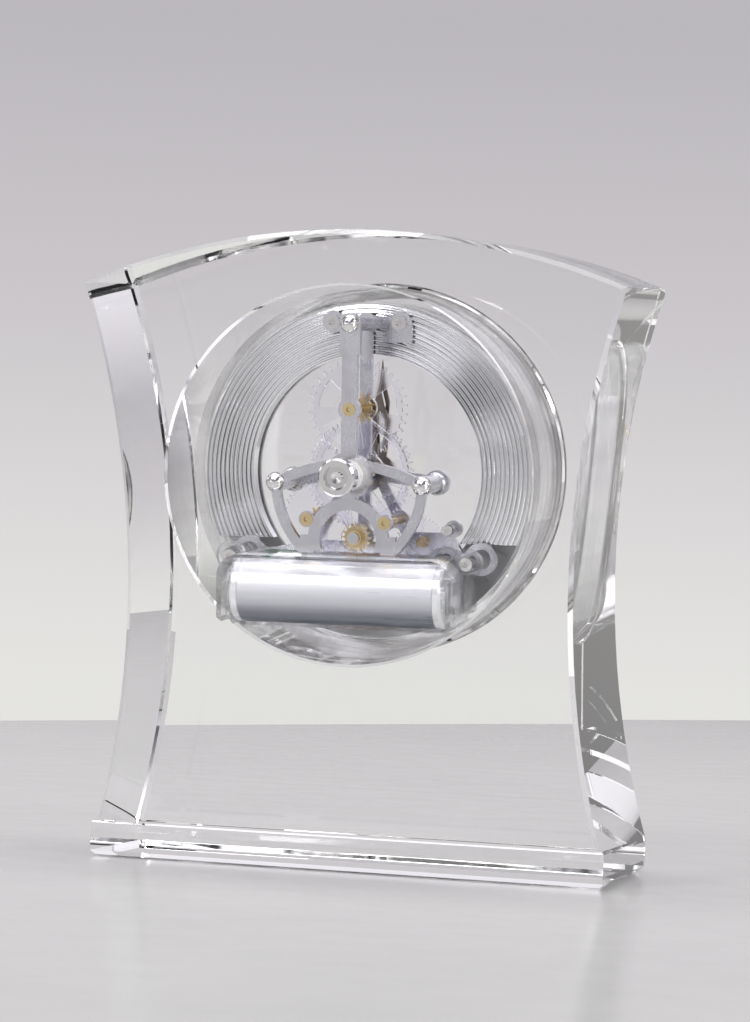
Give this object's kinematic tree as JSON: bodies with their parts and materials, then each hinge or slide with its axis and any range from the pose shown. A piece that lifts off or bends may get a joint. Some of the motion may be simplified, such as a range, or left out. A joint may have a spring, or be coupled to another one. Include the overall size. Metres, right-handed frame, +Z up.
{
  "type": "crystal desk clock",
  "caption": "Waisted crystal block desk clock, leaning back, with a skeleton quartz movement, rear setting knob and a removable AA cell in a through bore.",
  "frame": {"origin": "on the surface under the middle of the block's base", "axes": "+Z up, +Y toward the rear, where the knob and the battery are; the dial faces -Y, tilted up by the 6 degree lean"},
  "size_m": [0.1276, 0.0687, 0.1504],
  "materials": {
    "crystal": "optically clear crystal, polished all over",
    "clear_plastic": "clear injection-moulded polycarbonate",
    "lens": "clear mineral lens",
    "gear_clear": "clear faintly lavender moulded gears",
    "silver_ring": "silvered ribs, turned",
    "dial_white": "satin silver-white dial ring",
    "dark_mark": "satin black",
    "chrome": "bright chrome",
    "satin_steel": "satin nickel plates",
    "ivory_tube": "creamy white acetal",
    "brass": "polished brass",
    "hand_black": "dark bronze lacquer",
    "magnet": "sintered magnet, dark",
    "lamination": "annealed stator steel",
    "copper": "enamelled copper wire, with brass standing in for copper",
    "bobbin": "white bobbin plastic",
    "board": "green solder-masked board",
    "chip_black": "black epoxy",
    "silicone": "translucent silicone",
    "cell_can": "satin silver label film over steel"
  },
  "bodies": {
    "case": {"glass_block": "crystal", "case_ring": "clear_plastic", "case_gasket": "silicone", "ribbed_ring": "silver_ring", "chapter_ring": "dial_white", "hour_markers": "dark_mark", "front_lens": "lens", "front_bezel": "chrome", "rear_plate": "satin_steel", "front_plate": "satin_steel", "top_pillar": "satin_steel", "side_pillars": "satin_steel", "dome_screws": "chrome", "lug_screws": "chrome", "rear_bushings": "brass", "front_bushings": "brass", "arbor_tube": "ivory_tube", "second_stud": "satin_steel", "motor_bridge": "clear_plastic", "bridge_screws": "chrome", "stator": "lamination", "coil_core": "lamination", "coil_bobbin": "bobbin", "coil_winding": "copper", "circuit_board": "board", "chip": "chip_black", "quartz_can": "satin_steel", "battery_box": "clear_plastic", "box_screws": "chrome", "contact_plate": "satin_steel", "contact_spring": "satin_steel"},
    "hand_set": {"minute_arbor": "satin_steel", "setting_knob": "chrome", "cannon_pinion": "brass", "clutch_spring": "satin_steel", "minute_hand": "hand_black", "hand_cap": "brass"},
    "minute_wheel_set": {"minute_wheel": "gear_clear", "minute_pinion": "brass"},
    "hour_set": {"hour_wheel": "gear_clear", "hour_hand": "hand_black"},
    "rotor": {"rotor_magnet": "magnet", "rotor_pinion": "brass"},
    "inter_set": {"inter_wheel": "gear_clear", "inter_pinion": "brass"},
    "first_set": {"first_wheel": "gear_clear", "first_pinion": "brass"},
    "second_set": {"second_wheel": "gear_clear", "second_pinion": "brass"},
    "third_set": {"third_wheel": "gear_clear", "third_pinion": "brass"},
    "centre_set": {"centre_wheel": "gear_clear"},
    "battery": {"battery": "cell_can"}
  },
  "joints": [
    {"name": "setting_turn", "type": "hinge", "parent": "case", "child": "hand_set", "pos_m": [0, 0.02514, 0.09087], "axis": [0, 0.9945, -0.1045], "continuous": true},
    {"name": "minute_wheel_turn", "type": "hinge", "parent": "case", "child": "minute_wheel_set", "pos_m": [0, 0.0267, 0.10579], "axis": [0, 0.9945, -0.1045], "continuous": true},
    {"name": "hour_turn", "type": "hinge", "parent": "case", "child": "hour_set", "pos_m": [0, 0.02514, 0.09087], "axis": [0, 0.9945, -0.1045], "continuous": true},
    {"name": "rotor_turn", "type": "hinge", "parent": "case", "child": "rotor", "pos_m": [-0.0195, 0.02299, 0.07048], "axis": [0, 0.9945, -0.1045], "continuous": true},
    {"name": "inter_turn", "type": "hinge", "parent": "case", "child": "inter_set", "pos_m": [-0.0144, 0.02351, 0.07536], "axis": [0, 0.9945, -0.1045], "continuous": true},
    {"name": "first_turn", "type": "hinge", "parent": "case", "child": "first_set", "pos_m": [-0.0086, 0.02403, 0.08033], "axis": [0, 0.9945, -0.1045], "continuous": true},
    {"name": "second_turn", "type": "hinge", "parent": "case", "child": "second_set", "pos_m": [0, 0.02361, 0.07635], "axis": [0, 0.9945, -0.1045], "continuous": true},
    {"name": "third_turn", "type": "hinge", "parent": "case", "child": "third_set", "pos_m": [0.0098, 0.02407, 0.08073], "axis": [0, 0.9945, -0.1045], "continuous": true},
    {"name": "centre_turn", "type": "hinge", "parent": "case", "child": "centre_set", "pos_m": [0, 0.02514, 0.09087], "axis": [0, 0.9945, -0.1045], "continuous": true},
    {"name": "battery_out", "type": "slide", "parent": "case", "child": "battery", "axis": [0, 0.8387, -0.5446], "range_m": [0, 0.03]}
  ],
  "couplings": [
    {"joint": "minute_wheel_turn", "follows": "setting_turn", "ratio": -0.33333},
    {"joint": "hour_turn", "follows": "setting_turn", "ratio": 0.083333},
    {"joint": "inter_turn", "follows": "rotor_turn", "ratio": -0.25},
    {"joint": "first_turn", "follows": "rotor_turn", "ratio": 0.05},
    {"joint": "second_turn", "follows": "rotor_turn", "ratio": -0.0083333},
    {"joint": "third_turn", "follows": "rotor_turn", "ratio": 0.0033333},
    {"joint": "centre_turn", "follows": "rotor_turn", "ratio": -0.00055556}
  ]
}
